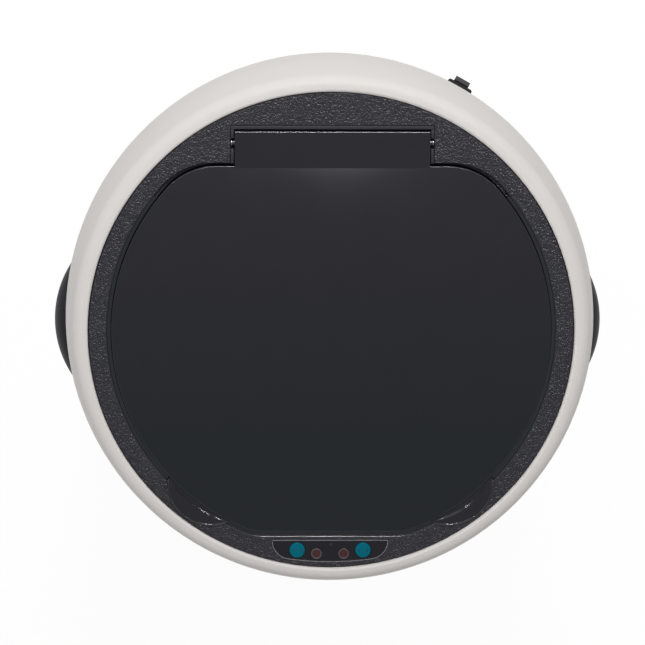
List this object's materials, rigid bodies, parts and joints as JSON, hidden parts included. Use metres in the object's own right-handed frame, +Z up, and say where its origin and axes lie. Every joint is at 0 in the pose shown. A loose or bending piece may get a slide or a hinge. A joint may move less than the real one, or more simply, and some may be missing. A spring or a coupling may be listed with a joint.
{
  "type": "automatic kitchen bin",
  "caption": "Round kitchen bin with a lift-off domed head, a tilted black face, a motor-driven hinged lid, buttons, sensor windows and side finger pulls.",
  "frame": {"origin": "centre of the base on the floor", "axes": "+Z up, +Y to the rear (hinge side), +X to the right seen from above with the hinge away from the viewer"},
  "size_m": [0.3168, 0.3, 0.639],
  "materials": {
    "pearl_coat": "satin",
    "pearl_plastic": "satin",
    "zinc_steel": "satin",
    "black_plastic": "matte",
    "grained_black": "grained",
    "lid_black": "satin",
    "black_rubber": "matte",
    "bright_steel": "bright",
    "white_nylon": "matte",
    "grey_plastic": "matte",
    "board_green": "matte",
    "cell_wrap": "gloss",
    "panel_black": "gloss",
    "window_red": "gloss",
    "clear_resin": "gloss",
    "dark_resin": "gloss",
    "teal_plastic": "satin",
    "cable_black": "matte",
    "switch_black": "satin"
  },
  "bodies": {
    "drum": {"drum_shell": "pearl_coat", "floor_pan": "zinc_steel", "base_ring": "black_plastic", "base_pads": "black_rubber", "handle_left": "black_plastic", "handle_right": "black_plastic", "handle_screws": "bright_steel", "liner_ring": "black_plastic"},
    "lid": {"lid_panel": "lid_black", "lid_liner": "black_plastic", "lid_screws": "bright_steel", "lid_buffers": "black_rubber", "hinge_shaft": "bright_steel", "lid_gear": "white_nylon"},
    "drive_gear": {"drive_gear": "white_nylon"},
    "open_button": {"open_button": "teal_plastic"},
    "close_button": {"close_button": "teal_plastic"},
    "power_rocker": {"power_rocker": "switch_black"},
    "cell_door": {"cell_door": "black_plastic"},
    "head": {"head_shell": "pearl_plastic", "head_frame": "grained_black", "frame_screws": "bright_steel", "rear_housing": "black_plastic", "hinge_bushes": "white_nylon", "gear_case": "grey_plastic", "drive_motor": "bright_steel", "case_screws": "bright_steel", "housing_screws": "bright_steel", "main_board": "board_green", "board_screws": "bright_steel", "dry_cells": "cell_wrap", "cell_contacts": "bright_steel", "cell_cradle": "black_plastic", "control_lens": "panel_black", "emitter_window": "window_red", "receiver_window": "window_red", "infrared_emitter": "clear_resin", "infrared_receiver": "dark_resin", "status_light": "clear_resin", "sensor_board": "board_green", "button_switches": "black_plastic", "harness_cable": "cable_black", "cable_clips": "black_plastic", "switch_body": "switch_black"}
  },
  "joints": [
    {"name": "head_lift", "type": "slide", "parent": "drum", "child": "head", "axis": [0, 0, 1], "range_m": [0, 0.12]},
    {"name": "lid_hinge", "type": "hinge", "parent": "head", "child": "lid", "pos_m": [0, 0.09464, 0.62559], "axis": [-1, 0, 0], "range_deg": [0, 85]},
    {"name": "drive_spin", "type": "hinge", "parent": "head", "child": "drive_gear", "pos_m": [0, 0.0979, 0.61198], "axis": [-1, 0, 0], "range_deg": [-86, 1]},
    {"name": "open_press", "type": "slide", "parent": "head", "child": "open_button", "axis": [0, 0.2334, -0.9724], "range_m": [0, 0.0008], "stiffness_N_per_m": 800, "springref_m": -0.0005},
    {"name": "close_press", "type": "slide", "parent": "head", "child": "close_button", "axis": [0, 0.2334, -0.9724], "range_m": [0, 0.0008], "stiffness_N_per_m": 800, "springref_m": -0.0005},
    {"name": "power_rock", "type": "hinge", "parent": "head", "child": "power_rocker", "pos_m": [0.07421, 0.13116, 0.562], "axis": [-0.8704, 0.4924, 0], "range_deg": [0, 24]},
    {"name": "cell_door_slide", "type": "slide", "parent": "head", "child": "cell_door", "axis": [0, -0.9724, -0.2334], "range_m": [0, 0.04]}
  ],
  "couplings": [
    {"joint": "drive_spin", "follows": "lid_hinge", "ratio": -1}
  ]
}
